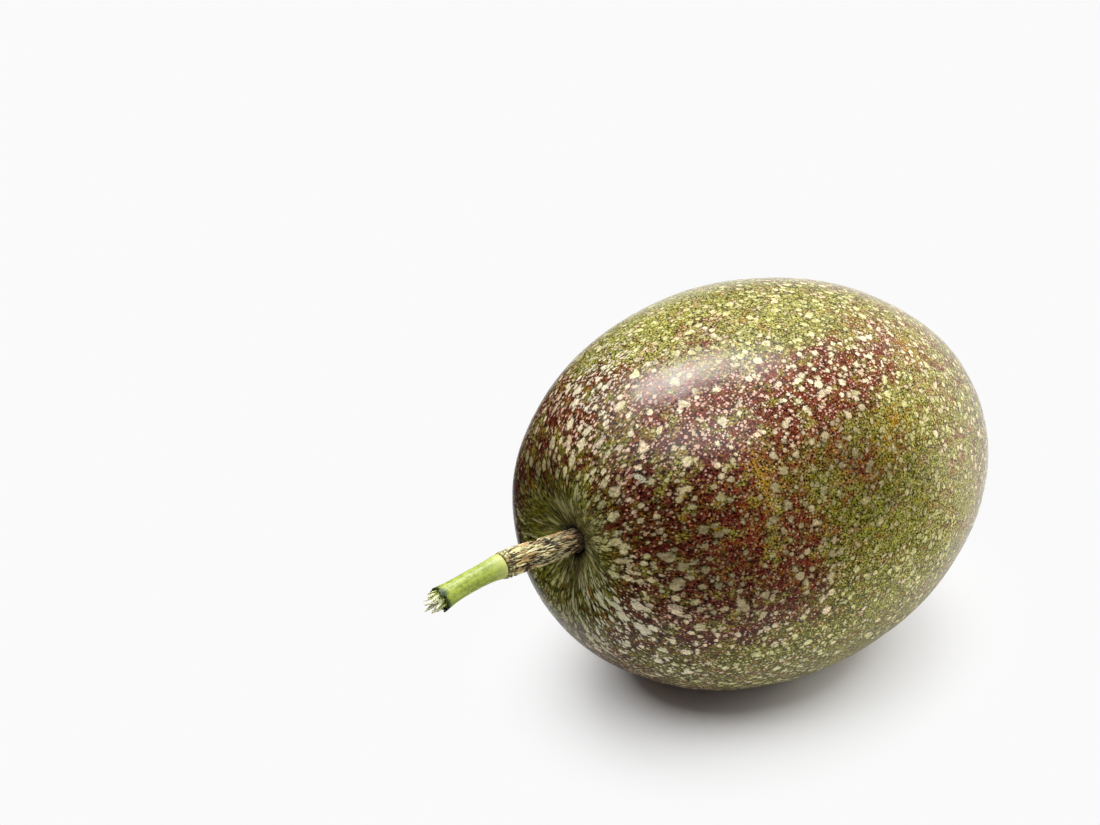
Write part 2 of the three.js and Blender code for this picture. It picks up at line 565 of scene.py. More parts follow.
@dataclass(frozen=True)
class RindFinish:
    """Waxy rind: maroon and olive patches under cream speckles."""

    maroon: Colour = paint("6a2817")
    wine: Colour = paint("44120c")
    rose: Colour = paint("905a44")
    olive: Colour = paint("54510b")
    leaf: Colour = paint("8f9238")
    ochre: Colour = paint("96701a")
    straw: Colour = paint("a6a056")
    cream_on_maroon: Colour = paint("f0dab2")
    cream_on_green: Colour = paint("d9d28c")
    dot_on_maroon: Colour = paint("e2b49c")
    dot_on_green: Colour = paint("d2cc7e")
    # Milk white for washed spots: partly their own paler colour, partly painted sheen.
    milk_and_sheen: Colour = paint("ebe6cc")
    dull: Colour = paint("c9b57a")
    # Near-black painted shade for the floor of the stalk's seat in the dimple.
    dark_crevice_and_shade: Colour = paint("1e1606")
    scar: Colour = paint("6e5232")
    gloss: float = 0.11
    gloss_swing: float = 0.16
    matt: float = 0.65
    skin_index: float = 1.42
    green_halo: float = 0.42
    rim_shade: float = 0.8
    stretch: tuple[float, float, float] = (1.0, 1.0, 0.6)
    grain_size: float = 0.26
    grain_height: float = 0.040
    fresh_share: float = 0.34
    stray_share: float = 0.5
    wash: float = 0.6
    pallor_span: tuple[float, float] = (0.4, 0.75)
    milky_and_sheen_span: tuple[float, float] = (-0.3, -0.02)
    dull_span: tuple[float, float] = (0.04, 0.34)
    pink_starts: tuple[float, float] = (8.0, 20.0)
    dimple_shade_fades: tuple[float, float] = (2.6, 5.6)
    matt_fades: tuple[float, float] = (4.0, 12.0)
    dot_spacing: float = 1.0
    rimless_spacing: float = 0.5
    spot_layers: tuple[SpotLayer, ...] = (
        SpotLayer(1.70, 0.38, 0.00, 1.10, variety=0.30, ragged=0.42, fray=0.34, soft=0.07, strength=0.92),
        SpotLayer(1.05, 0.41, 0.12, 0.85, variety=0.40, ragged=0.40, fray=0.32, soft=0.07, strength=0.92),
        SpotLayer(0.62, 0.44, 0.12, 0.85, variety=0.60, ragged=0.50, fray=0.44, soft=0.07, strength=0.92),
        SpotLayer(0.36, 0.44, 0.20, 0.75, variety=0.50, ragged=0.40, fray=0.34, soft=0.07, strength=1.0),
    )

    def ground(self, bench: NodeBench, place: Socket, red: Socket, rosy: Socket, stray: Socket) -> Socket:
        """Colours the rind under its speckles.

        Args:
            bench: the material's nodes.
            place: where the patterns are read.
            red: the mask of the maroon patches.
            rosy: how far the rind is red on the whole.
            stray: small patches of the other colour, green on red and red on green.

        Returns:
            The colour.
        """
        patches = {
            Tint.DEEP: (1.2, 2.6, 0.40),
            Tint.LEAF: (1.0, 2.6, 0.40),
            Tint.OCHRE: (0.9, 2.4, 0.35),
            Tint.PALE: (1.2, 2.2, 0.40),
        }
        mask = {}
        for tint, (size, broken, soft) in patches.items():
            level = bench.field(tint.value)
            patch = MOTTLE.place(bench, Place=place, Size=size, Field=level, Break=broken, Soft=soft)
            mask[tint] = patch.outputs[0]
        green = bench.blend(mask[Tint.LEAF], self.olive, self.leaf)
        green = bench.blend(mask[Tint.PALE], green, self.straw)
        maroon = bench.blend(mask[Tint.DEEP], self.maroon, self.wine)
        pallor = bench.times(bench.rise(bench.field("pale"), *self.pallor_span), mask[Tint.PALE])
        maroon = bench.blend(pallor, maroon, self.rose)
        both = bench.blend(red, green, maroon)
        fresh = bench.rise(bench.noise(place, 0.7, 3.0, 0.6), 0.46, 0.66)
        lighter = bench.blend(rosy, self.leaf, self.rose)
        both = bench.blend(bench.times(fresh, self.fresh_share), both, lighter)
        other = bench.blend(rosy, self.rose, self.leaf)
        both = bench.blend(bench.times(stray, self.stray_share), both, other)
        return bench.blend(mask[Tint.OCHRE], both, self.ochre)

    def speckles(self, bench: NodeBench, place: Socket, grain: Socket) -> tuple[Socket, ...]:
        """Lays blotches, spots and dots over one another.

        Args:
            bench: the material's nodes.
            place: where the patterns are read.
            grain: the fine grain, which breaks them up.

        Returns:
            How much the spots cover, how much the dots cover, the spots' wide halos, and the rims.
        """
        bare = {True: 1.0, False: 1.0}
        halo, rims = 0.0, 0.0
        clear = bench.rest(bench.field("faint"))
        for layer in self.spot_layers:
            large = layer.spacing > self.dot_spacing
            moved = bench.vector("ADD", place, [layer.spacing * step for step in (31.0, 7.0, 13.0)])
            crowd = bench.field("bold" if large else "dense")
            share = bench.line(crowd, layer.more, layer.least, clamp=True)
            spots = SPECKLES.place(
                bench, Place=moved, Spacing=layer.spacing, Radius=layer.radius, Share=share,
                Variety=layer.variety, Ragged=layer.ragged, Fray=layer.fray, Soft=layer.soft,
            )
            tone = bench.line(spots.outputs["Tone"], 0.45, 0.56)
            tone = bench.times(tone, bench.line(grain, 0.9, 0.6))
            tone = bench.times(tone, clear)
            shown = bench.times(bench.times(spots.outputs["Mask"], tone), layer.strength)
            bare[large] = bench.times(bare[large], bench.rest(shown, clamp=True))
            if large:
                halo = bench.math("MAXIMUM", halo, spots.outputs["Halo"])
            if layer.spacing > self.rimless_spacing:
                rims = bench.math("MAXIMUM", rims, spots.outputs["Rim"])
        spotted, dotted = (bench.rest(bare[large]) for large in (True, False))
        return spotted, dotted, halo, rims

    def make(self, nicks: Sequence[tuple[Nick, Array, Array]]) -> bpy.types.Material:
        """Wires the rind's material.

        Args:
            nicks: the thin marks, each with its middle and its reach where the patterns are read.

        Returns:
            The material.
        """
        material, bench, shader = new_material("waxy_rind")
        shader.inputs["IOR"].default_value = self.skin_index
        place = bench.field("skin_place", "Vector")
        drawn = bench.vector("MULTIPLY", place, self.stretch)
        wine, faint, from_stem = (bench.field(name) for name in ("wine", "faint", "from_stem"))
        red = MOTTLE.place(bench, Place=drawn, Size=2.4, Field=wine, Break=3.0, Soft=0.25).outputs[0]
        grain = GRAIN.place(bench, Place=place, Size=self.grain_size)
        spotted, dotted, halo, rims = self.speckles(bench, place, grain.outputs["Height"])
        red = bench.times(red, bench.rest(bench.times(halo, self.green_halo)))
        rosy = bench.rise(wine, 0.2, 0.8)
        stray = bench.rise(bench.noise(drawn, 1.7, 3.0, 0.62), 0.52, 0.66)
        ground = self.ground(bench, drawn, red, rosy, stray)
        tinge = bench.line(rosy, 0.35, bench.noise(place, 2.2, 2.0, 0.5))
        pinker = bench.times(bench.rise(tinge, 0.5, 0.68), bench.line(stray, -0.7, 1.0))
        pinker = bench.times(pinker, bench.rise(from_stem, *self.pink_starts))
        cream = bench.blend(pinker, self.cream_on_green, self.cream_on_maroon)
        fleck = bench.rise(grain.outputs["Height"], 0.36, 0.64)
        ground = bench.scaled(ground, bench.line(fleck, 1.8, 0.04))
        ground = bench.scaled(ground, bench.line(rims, -self.rim_shade, 1.0))
        cream = bench.scaled(cream, bench.line(fleck, 0.45, 0.8))
        dots = bench.blend(pinker, self.dot_on_green, self.dot_on_maroon)
        # Where the faint field is negative, spots are washed towards milk white: partly paler spots of their
        # own, partly painted sheen on the lit zones.
        milky_and_sheen = bench.times(bench.rest(bench.rise(faint, *self.milky_and_sheen_span)), self.wash)
        dulled = bench.times(bench.rise(faint, *self.dull_span), self.wash)
        for share, wash in ((milky_and_sheen, self.milk_and_sheen), (dulled, self.dull)):
            cream, dots = (bench.blend(share, spot, wash) for spot in (cream, dots))
        skin = bench.blend(spotted, bench.blend(dotted, ground, dots), cream)
        cover = bench.math("MAXIMUM", spotted, dotted)
        # Painted shade: the skin turns near black round the stalk's seat and fades out a few millimetres up
        # the dimple.
        dimple_shade = bench.rest(bench.rise(from_stem, *self.dimple_shade_fades))
        skin = bench.blend(dimple_shade, skin, self.dark_crevice_and_shade)
        skin = bench.blend(bench.field("scar"), skin, self.scar)
        height = bench.line(cover, 0.35, grain.outputs["Height"])
        for nick, middle, reach in nicks:
            mark = SLIVER.place(bench, Place=place, Middle=middle, Reach=reach, Width=nick.width).outputs[0]
            skin = bench.blend(mark, skin, nick.shade)
            height = bench.line(mark, nick.lift, height)
        rough = bench.line(fleck, self.gloss_swing, self.gloss)
        rough = bench.line(cover, 0.04, rough)
        matt = bench.rest(bench.rise(from_stem, *self.matt_fades))
        rough = bench.math("MAXIMUM", rough, bench.times(matt, self.matt))
        dress(bench, shader, skin, rough, height, self.grain_height)
        return material


@dataclass(frozen=True)
class CorkFinish:
    """Dry stalk: straw fibres over brown cracks, rustier next to the fruit. Its cracks and grooves are partly
    painted shade, and its root under the fruit is painted shade.
    """

    straw: Colour = paint("f8eeb4")
    tan: Colour = paint("cfa562")
    rust: Colour = paint("b0703f")
    crack: Colour = paint("2a1108")
    green_tinge: Colour = paint("d8cc70")
    fibre_height: float = 0.15

    def make(self) -> bpy.types.Material:
        """Wires the dry stalk's material.

        Returns:
            The material.
        """
        material, bench, shader = new_material("dry_cork")
        place = bench.field("stalk_place", "Vector")
        along = bench.field("along")
        broad = FIBRES.place(bench, Place=place, Size=0.7, Stretch=4.5).outputs[0]
        fine = FIBRES.place(bench, Place=place, Size=0.23, Stretch=8.0).outputs[0]
        flaked = FIBRES.place(bench, Place=place, Size=0.9, Stretch=2.5).outputs[0]
        skin = bench.blend(bench.rise(broad, 0.40, 0.48), self.tan, self.straw)
        skin = bench.blend(bench.times(bench.rise(flaked, 0.54, 0.6), 0.42), skin, self.rust)
        skin = bench.blend(bench.times(bench.rise(along, 10.0, 15.0), 0.4), skin, self.green_tinge)
        rusty = bench.rest(bench.rise(along, 0.5, 6.5))
        skin = bench.blend(bench.times(rusty, 0.6), skin, self.rust)
        split = bench.times(bench.rise(fine, 0.51, 0.56), 0.95)
        # Painted shade: the stalk turns crack brown over its first two and a half millimetres, where it sits
        # down in the fruit's dimple.
        root_shade = bench.times(bench.rest(bench.rise(along, 1.0, 2.6)), 0.7)
        # The mesh's cracks and collar grooves darken too: partly the cork's own dark colour, partly painted
        # shade in the recesses.
        dark = bench.math("MAXIMUM", bench.math("MAXIMUM", bench.field("dark_crevice_and_shade"), split), root_shade)
        skin = bench.blend(dark, skin, self.crack)
        rough = bench.line(fine, 0.2, 0.65)
        height = bench.math("SUBTRACT", bench.math("ADD", fine, broad), split)
        dress(bench, shader, skin, rough, height, self.fibre_height)
        return material


@dataclass(frozen=True)
class GreenStalkFinish:
    """Fresh stalk: smooth lime green, yellower at the joint, dark where the skin is torn."""

    lime: Colour = paint("a9ba42")
    shade: Colour = paint("879a2e")
    yellow: Colour = paint("dde08a")
    torn: Colour = paint("33471a")
    flesh: Colour = paint("dfe3a4")
    grain_height: float = 0.03

    def make(self) -> bpy.types.Material:
        """Wires the green stalk's material.

        Returns:
            The material.
        """
        material, bench, shader = new_material("fresh_stalk")
        place = bench.field("stalk_place", "Vector")
        streak = FIBRES.place(bench, Place=place, Size=0.55, Stretch=14.0).outputs[0]
        fleck = GRAIN.place(bench, Place=place, Size=0.3).outputs["Height"]
        cloud = bench.noise(place, 0.8, 3.0, 0.6)
        skin = bench.blend(bench.rise(bench.math("ADD", streak, cloud), 0.85, 1.15), self.shade, self.lime)
        skin = bench.blend(bench.times(bench.rise(fleck, 0.48, 0.66), 0.3), skin, self.yellow)
        joint = bench.rest(bench.rise(bench.field("along"), 15.0, 18.5))
        skin = bench.blend(bench.times(joint, 0.6), skin, self.yellow)
        skin = bench.blend(bench.field("torn"), skin, self.torn)
        skin = bench.blend(bench.field("flesh"), skin, self.flesh)
        rough = bench.line(fleck, 0.2, 0.34)
        dress(bench, shader, skin, rough, bench.line(streak, 0.6, fleck), self.grain_height)
        return material


@dataclass(frozen=True)
class PithFinish:
    """Torn pith: pale fibres, greener at the root of the tuft."""

    tip: Colour = paint("f0efca")
    root: Colour = paint("b9c46a")
    fibre_height: float = 0.05

    def make(self) -> bpy.types.Material:
        """Wires the pith's material.

        Returns:
            The material.
        """
        material, bench, shader = new_material("torn_pith")
        place = bench.field("stalk_place", "Vector")
        streak = FIBRES.place(bench, Place=place, Size=0.16, Stretch=8.0).outputs[0]
        reach = bench.rise(bench.field("along"), 26.3, 28.0)
        skin = bench.blend(reach, self.root, self.tip)
        skin = bench.blend(bench.times(bench.rise(streak, 0.5, 0.7), 0.4), skin, self.root)
        dress(bench, shader, skin, bench.line(streak, 0.2, 0.6), streak, self.fibre_height)
        return material


@dataclass(frozen=True)
class FloorFinish:
    """Plain pale sheet that fades to white outside the fruit's shadow, with dark cards out of sight."""

    sheet: float = 0.93
    white: float = 0.955
    shadow_middle: Vector = field(default_factory=lambda: Vector((-0.002, -0.001, 0.0)))
    shadow_size: Vector = field(default_factory=lambda: Vector((0.0393, 0.031, 1.0)))
    fade_from: float = 0.50
    fade_to: float = 1.28
    shine_edge: tuple[float, float] = (0.02, 0.095)
    shine_behind: tuple[float, float] = (0.0, 0.045)
    left_card: tuple[float, float] = (0.032, 0.06)
    card: float = 0.02

    def make(self, left: Vector, away: Vector) -> bpy.types.Material:
        """Wires the floor's material.

        Args:
            left: the level direction from the fruit towards the viewer's left.
            away: the level direction from the fruit away from the viewer.

        Returns:
            The material.
        """
        material, bench, shader = new_material("pale_sheet")
        shader.inputs["Base Color"].default_value = (self.sheet, self.sheet, self.sheet, 1.0)
        shader.inputs["Roughness"].default_value = 0.9
        shader.inputs["Specular IOR Level"].default_value = 0.1
        place = bench.add("ShaderNodeNewGeometry").outputs["Position"]
        out = bench.vector("DIVIDE", bench.vector("SUBTRACT", place, self.shadow_middle), self.shadow_size)
        outside = bench.length(out)
        rays = bench.add("ShaderNodeLightPath").outputs
        ray = rays["Is Camera Ray"]
        faded = bench.math("SQRT", bench.rise(outside, self.fade_from, self.fade_to))
        faded = bench.times(faded, ray)
        reach = bench.dot(place, left)
        spread = bench.length(place)
        behind = bench.dot(place, away)
        dim = bench.line(bench.rise(spread, *self.shine_edge), 0.65, 0.35)
        dim = bench.times(dim, bench.line(bench.rise(behind, *self.shine_behind), -0.6, 1.0))
        dim = bench.times(dim, rays["Is Glossy Ray"])
        carded = bench.math("MAXIMUM", bench.rise(reach, *self.left_card), dim)
        carded = bench.times(carded, bench.rest(ray))
        both = shader
        for share, glow in ((faded, self.white), (carded, self.card)):
            shown = bench.add("ShaderNodeEmission", {"Color": WHITE, "Strength": glow})
            both = bench.add("ShaderNodeMixShader", {0: share, 1: both.outputs[0], 2: shown.outputs[0]})
        output = next(node for node in bench.tree.nodes if node.type == "OUTPUT_MATERIAL")
        bench.tree.links.new(both.outputs[0], output.inputs["Surface"])
        return material


def finish_mesh(name: str, points: Array, faces: list[list[int]], fields: dict[str, Array],
                material: bpy.types.Material) -> bpy.types.Object:
    """Makes a smooth mesh object with its fields and material.

    Args:
        name: the piece's name.
        points: corners in millimetres, one row each.
        faces: the corners of each face.
        fields: numbers or vectors that the material reads, one for each corner.
        material: what the piece wears.

    Returns:
        The new object.
    """
    mesh = bpy.data.meshes.new(name)
    mesh.from_pydata((points * MM).tolist(), [], faces)
    for field_name, values in fields.items():
        kind = "FLOAT" if values.ndim == 1 else "FLOAT_VECTOR"
        layer = mesh.attributes.new(field_name, kind, "POINT")
        layer.data.foreach_set("value" if kind == "FLOAT" else "vector", values.astype(np.float32).ravel())
    mesh.polygons.foreach_set("use_smooth", [True] * len(mesh.polygons))
    mesh.materials.append(material)
    mesh.update()
    piece = bpy.data.objects.new(name, mesh)
    bpy.context.scene.collection.objects.link(piece)
    return piece


def settle(piece: bpy.types.Object, node: str) -> bpy.types.Object:
    """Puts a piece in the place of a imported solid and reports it.

    Args:
        piece: the finished piece.
        node: the solid that it stands for.

    Returns:
        The same piece.
    """
    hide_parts(node)
    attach(piece, ROOT)
    log.info("%s stands for %s with %d faces", piece.name, node, len(piece.data.polygons))
    return piece


def turned_faces(rings: int, around: int, first: int = 0) -> list[list[int]]:
    """Joins rings of corners, with a single corner before the first ring and after the last.

    Args:
        rings: how many rings there are.
        around: how many corners each has.
        first: the number of the form's first corner.

    Returns:
        The faces of the closed form, which face outwards.
    """
    ring = np.arange(around)
    after = (ring + 1) % around
    start = first + 1
    top = start + (rings - 1) * around
    last = top + around
    faces = [[first, start + k, start + j] for j, k in zip(ring, after)]
    for low in range(start, top, around):
        high = low + around
        faces += [[low + j, low + k, high + k, high + j] for j, k in zip(ring, after)]
    faces += [[last, top + j, top + k] for j, k in zip(ring, after)]
    return faces


def unroll(piece: bpy.types.Object, height: Array, around: int) -> None:
    """Gives a turned form a map with one seam, as if its skin were cut along one side and rolled out flat.

    Args:
        piece: the form.
        height: where each ring lies on the map, from 0 to 1.
        around: how many corners each ring has.
    """
    left = np.arange(around) / around
    right = left + 1 / around
    middle = (left + right) / 2
    low, high = np.zeros(around), np.ones(around)
    first, last = low + height[0], low + height[-1]
    rows = [np.stack([middle, low, right, first, left, first], axis=1)]
    for here, there in zip(height, height[1:]):
        bottom, top = low + here, low + there
        rows.append(np.stack([left, bottom, right, bottom, right, top, left, top], axis=1))
    rows.append(np.stack([middle, high, left, last, right, last], axis=1))
    layer = piece.data.uv_layers.new(name="OFBake")
    layer.data.foreach_set("uv", np.concatenate([row.ravel() for row in rows]).astype(np.float32))


@dataclass
class Lie:
    """How the fruit lies: its middle and its own axes in the frame, in millimetres."""

    middle: Array
    tilt: float

    @property
    def stemward(self) -> Array:
        """The long axis towards the stem."""
        return np.array([-math.cos(self.tilt), 0.0, math.sin(self.tilt)])

    @property
    def upward(self) -> Array:
        """The way up across the axis."""
        return np.array([math.sin(self.tilt), 0.0, math.cos(self.tilt)])

    def place(self, along: Array | float, side: Array | float, up: Array | float) -> Array:
        """Turns places on the fruit into places in the frame.

        Args:
            along: distance along the long axis towards the stem.
            side: distance to the side.
            up: distance up across the axis.

        Returns:
            The places, one row each.
        """
        return (
            self.middle
            + np.multiply.outer(along, self.stemward)
            + np.multiply.outer(side, SIDEWAYS)
            + np.multiply.outer(up, self.upward)
        )


@dataclass
class Fruit:
    """The fruit: an egg of revolution with a dimpled stem end, a scar at the blossom end and a flat spot."""

    girth_radius: float = 31.0
    half_length: float = 40.7
    stem_swell: float = 0.049
    tilt: float = math.radians(5)
    dimple_depth: float = 5.0
    dimple_reach: float = 8.4
    dimple_rise: float = 0.85
    lobes: int = 5
    lobe_height: float = 0.22
    lobe_ring: float = 9.0
    lobe_width: float = 5.0
    hollow_depth: float = 0.7
    hollow_reach: float = 4.5
    scar_radius: float = 1.2
    scar_height: float = 0.45
    scar_edge_turn: float = 0.045
    seat_radius: float = 2.14
    seat_depth: float = 1.0
    olive_reach: float = 11.0
    stem_green: float = 1.1
    stem_sparse: float = 0.3
    streak_ring: float = 12.0
    streak_length: float = 2.2
    streak_reach: float = 17.0
    rings: int = 196
    around: int = 480
    ripples: tuple[Ripple, ...] = (Ripple(15, 0.07, 3), Ripple(5.5, 0.02, 4), Ripple(2.0, 0.006, 5))

    def egg(self, turn: Array) -> tuple[Array, Array]:
        """Reads the smooth egg.

        Args:
            turn: the angle from the stem pole at 0 to the blossom pole at pi.

        Returns:
            The distance along the axis and the distance from it.
        """
        out = self.girth_radius * np.sin(turn) * (1 + self.stem_swell * np.cos(turn))
        return self.half_length * np.cos(turn), out

    def lie(self) -> Lie:
        """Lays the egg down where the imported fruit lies.

        Returns:
            How the fruit lies.
        """
        low, high = (np.array(corner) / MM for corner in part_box("fruit"))
        flat = Lie(np.zeros(3), self.tilt)
        along, out = self.egg(np.linspace(0, math.pi, 2001))
        reach = (flat.place(along, 0 * along, out)).max(axis=0)
        return Lie(np.array([high[0] - reach[0], (low[1] + high[1]) / 2, high[2] - reach[2]]), self.tilt)

    def outline(self) -> tuple[Array, Array]:
        """Works out the outline from the blossom scar to the floor of the stalk's seat.

        Returns:
            The distance along the axis and the distance from it, ring by ring.
        """
        scar_out = self.scar_radius * np.array([0.35, 0.7, 0.95])
        scar_along = self.hollow_depth - self.half_length - self.scar_height * np.array([1.0, 0.8, 0.25])
        seat_turn = math.asin(self.seat_radius / self.girth_radius)
        turn = np.linspace(math.pi - self.scar_edge_turn, seat_turn, self.rings - 7)
        along, out = self.egg(turn)
        stem_side = along > 0
        along = along - np.where(stem_side, self.dimple_depth * bell(out, self.dimple_reach), 0)
        along = along + np.where(stem_side, 0, self.hollow_depth * bell(out, self.hollow_reach))
        floor = self.half_length - self.dimple_depth - self.seat_depth
        seat_along = np.array([along[-1] - 0.25, along[-1] - 0.6, floor, floor])
        seat_out = self.seat_radius * np.array([0.97, 0.95, 0.95, 0.5])
        return np.concatenate([scar_along, along, seat_along]), np.concatenate([scar_out, out, seat_out])

    def pattern_form(self, from_stem: Array, out: Array) -> tuple[Array, Array]:
        """Works out the form that the speckles are read on, which draws them into streaks at the stem.

        Args:
            from_stem: the distance from the stalk's seat along the skin, ring by ring, falling.
            out: the distance from the axis.

        Returns:
            The distance along and from the axis of that form.
        """
        body = 1.2 - 0.42 * ease(0.15, 1.0, from_stem / from_stem.max())
        pattern_out = (out**4 + self.streak_ring**4) ** 0.25 / body
        drawn = (1 + self.streak_length * bell(from_stem, self.streak_reach)) * body
        step = np.diff(from_stem)
        rise = np.diff(pattern_out)
        along = np.sqrt(np.maximum((step / drawn[1:]) ** 2 - rise**2, (0.15 * step) ** 2))
        return np.concatenate([[0], np.cumsum(along)]), pattern_out

    def tint_fields(self, points: Array, outward: Array, distance: Array, blushes: Sequence[Blush], lie: Lie,
                    outline: tuple[Array, Array, Array]) -> dict[str, Array]:
        """Adds up the blushes.

        Args:
            points: the skin's corners.
            outward: which way each faces.
            distance: how far each is from the stem along the skin.
            blushes: the patches to lay on.
            lie: how the fruit lies.
            outline: the outline's distance along, from the axis and from the stem, ring by ring.

        Returns:
            A field for each tint.
        """
        along, out, from_stem = outline
        fields = {tint.value: np.full(len(points), level) for tint, level in USUAL.items()}
        near_stem = bell(distance, self.olive_reach)
        fields[Tint.WINE.value] -= self.stem_green * near_stem
        fields[Tint.DENSE.value] -= self.stem_sparse * near_stem
        for blush in blushes:
            ring = int(np.argmin(np.abs(from_stem - blush.from_stem)))
            turn = math.radians(blush.turn)
            radial = math.cos(turn) * lie.upward - math.sin(turn) * SIDEWAYS
            across = -math.sin(turn) * lie.upward - math.cos(turn) * SIDEWAYS
            centre = lie.place(along[ring], 0.0, 0.0) + out[ring] * radial
            tangent = lie.stemward * (along[ring] - along[ring - 1]) + radial * (out[ring] - out[ring - 1])
            tangent /= np.linalg.norm(tangent)
            away = points - centre
            reach = np.hypot(away @ tangent / blush.along, away @ across / blush.around)
            facing = np.clip(outward @ radial * 3 + 0.3, 0, 1)
            fields[blush.tint.value] += blush.strength * bell(reach, 1.0) * facing
        return fields

    def place_nick(self, nick: Nick, from_stem: Array,
                   form: tuple[Array, Array]) -> tuple[Nick, Array, Array]:
        """Finds where a nick lies on the form that the patterns are read on.

        Args:
            nick: the nick.
            from_stem: the distance from the stem along the skin, ring by ring, falling.
            form: the distance along and from the axis of that form.

        Returns:
            The nick, its middle, and the way from there to its tip.
        """
        ends = []
        for reach, turn in (nick.start, nick.end):
            along, out = (np.interp(reach, from_stem[::-1], row[::-1]) for row in form)
            angle = -math.radians(turn)
            ends.append(np.array([out * math.sin(angle), out * math.cos(angle), along]))
        return nick, (ends[0] + ends[1]) / 2, (ends[1] - ends[0]) / 2

    def build(self, finish: RindFinish, blushes: Sequence[Blush], nicks: Sequence[Nick]) -> bpy.types.Object:
        """Builds the fruit and dresses it.

        Args:
            finish: the rind's finish.
            blushes: the patches of colour on it.
            nicks: the thin marks on it.

        Returns:
            The fruit.
        """
        lie = self.lie()
        along, out = self.outline()
        steps = np.hypot(np.diff(along), np.diff(out))
        from_stem = np.append(steps[::-1].cumsum()[::-1], 0.0) + out[-1]
        pattern_along, pattern_out = self.pattern_form(from_stem, out)
        angle = math.pi + circle(self.around)
        stem_side = along > 0
        lobed = self.lobe_height * bell(out - self.lobe_ring, self.lobe_width) * stem_side
        lifted = self.dimple_rise * bell(out, self.lobe_ring) * stem_side
        tall = along[:, None] + np.multiply.outer(lobed, np.cos(self.lobes * angle))
        side = np.multiply.outer(out, np.sin(angle))
        up = np.multiply.outer(out, np.cos(angle)) + lifted[:, None]
        points = lie.place(tall.ravel(), side.ravel(), up.ravel())
        outward = points - lie.place(0.55 * tall.ravel(), 0 * side.ravel(), 0 * up.ravel())
        outward /= np.linalg.norm(outward, axis=1, keepdims=True)
        wave = sum(ripple.at(points) - ripple.height for ripple in self.ripples)
        wave = wave * np.repeat(ease(1.05, 1.8, out / self.seat_radius), self.around)
        points = points + outward * wave[:, None]
        ends = lie.place(np.array([along[0] - 0.05, along[-1]]), np.zeros(2), np.array([0, self.dimple_rise]))
        points = np.concatenate([ends[:1], points, ends[1:]])
        points[:, 2] = np.maximum(points[:, 2], 0)
        outward = np.concatenate([[-lie.stemward], outward, [lie.stemward]])
        rings = {
            "from_stem": from_stem,
            "scar": np.where(stem_side, 0, 1 - ease(0.8, 1.5, out / self.scar_radius)),
        }
        fields = {}
        for name, row in rings.items():
            fields[name] = np.concatenate([row[:1], np.repeat(row, self.around), row[-1:]])
        outline = (along, out, from_stem)
        fields |= self.tint_fields(points, outward, fields["from_stem"], blushes, lie, outline)
        skin = np.stack([
            np.multiply.outer(pattern_out, np.sin(angle)).ravel(),
            np.multiply.outer(pattern_out, np.cos(angle)).ravel(),
            np.repeat(pattern_along, self.around),
        ], axis=1)
        poles = np.array([[0, 0, pattern_along[0]], [0, 0, pattern_along[-1]]])
        fields["skin_place"] = np.concatenate([poles[:1], skin, poles[1:]])
        faces = turned_faces(len(along), self.around)
        marks = [self.place_nick(nick, from_stem, (pattern_along, pattern_out)) for nick in nicks]
        piece = finish_mesh("speckled_fruit", points, faces, fields, finish.make(marks))
        unroll(piece, 1 - from_stem / from_stem.max(), self.around)
        return settle(piece, "fruit")


@dataclass
class StalkLine:
    """The stalk's centre line: straight out of the fruit to the joint, then a bend downwards."""

    root: Array
    heading: float
    joint_at: float = 15.3
    kink: float = math.radians(6)
    bend_per_mm: float = math.radians(11) / 11.2

    def at(self, along: Array) -> tuple[Array, Array, Array]:
        """Follows the line.

        Args:
            along: distances from the root.

        Returns:
            The line's places, its own directions, and the ways up across it.
        """
        past = np.maximum(along - self.joint_at, 0)
        before = np.minimum(along, self.joint_at)
        start = self.heading - self.kink
        now = start - self.bend_per_mm * past
        x = -before * math.cos(self.heading) - (math.sin(start) - np.sin(now)) / self.bend_per_mm
        z = before * math.sin(self.heading) + (np.cos(now) - math.cos(start)) / self.bend_per_mm
        angle = np.where(along < self.joint_at, self.heading, now)
        level = np.zeros_like(angle)
        way = np.stack([-np.cos(angle), level, np.sin(angle)], axis=1)
        up = np.stack([np.sin(angle), level, np.cos(angle)], axis=1)
        return self.root + np.stack([x, level, z], axis=1), way, up

    def sleeve(self, along: Array, radius: Array, angle: Array) -> Array:
        """Wraps rings round the line.

        Args:
            along: a distance from the root for each ring, or for each corner of it.
            radius: the distance from the line, ring by ring and corner by corner.
            angle: the corners' angles.

        Returns:
            The corners, one row each.
        """
        spread = np.broadcast_to(along if along.ndim == 2 else along[:, None], radius.shape)
        centre, _, up = self.at(spread.ravel())
        turn = np.broadcast_to(angle, radius.shape).ravel()
        flat = radius.ravel()
        return centre + up * (flat * np.cos(turn))[:, None] + np.multiply.outer(flat * np.sin(turn), SIDEWAYS)


def crinkle(along: Array, angle: Array, size: float, stretch: float, seed: float, layers: int = 3) -> Array:
    """Lengthwise wrinkles on a stalk, between about -1 and 1.

    Args:
        along: distance along the stalk, one for each ring.
        angle: the corners' angles.
        size: how wide a wrinkle is, in millimetres.
        stretch: how many times longer than wide it is.
        seed: moves the pattern.
        layers: how many finer layers it has.

    Returns:
        The height, ring by ring and corner by corner.
    """
    x, y = 2 * np.cos(angle) / size, 2 * np.sin(angle) / size
    z = along / size / stretch + seed
    rows = [[noise.fractal(Vector((a, b, c)), 0.6, 2.1, layers) for a, b in zip(x, y)] for c in z]
    return np.array(rows)


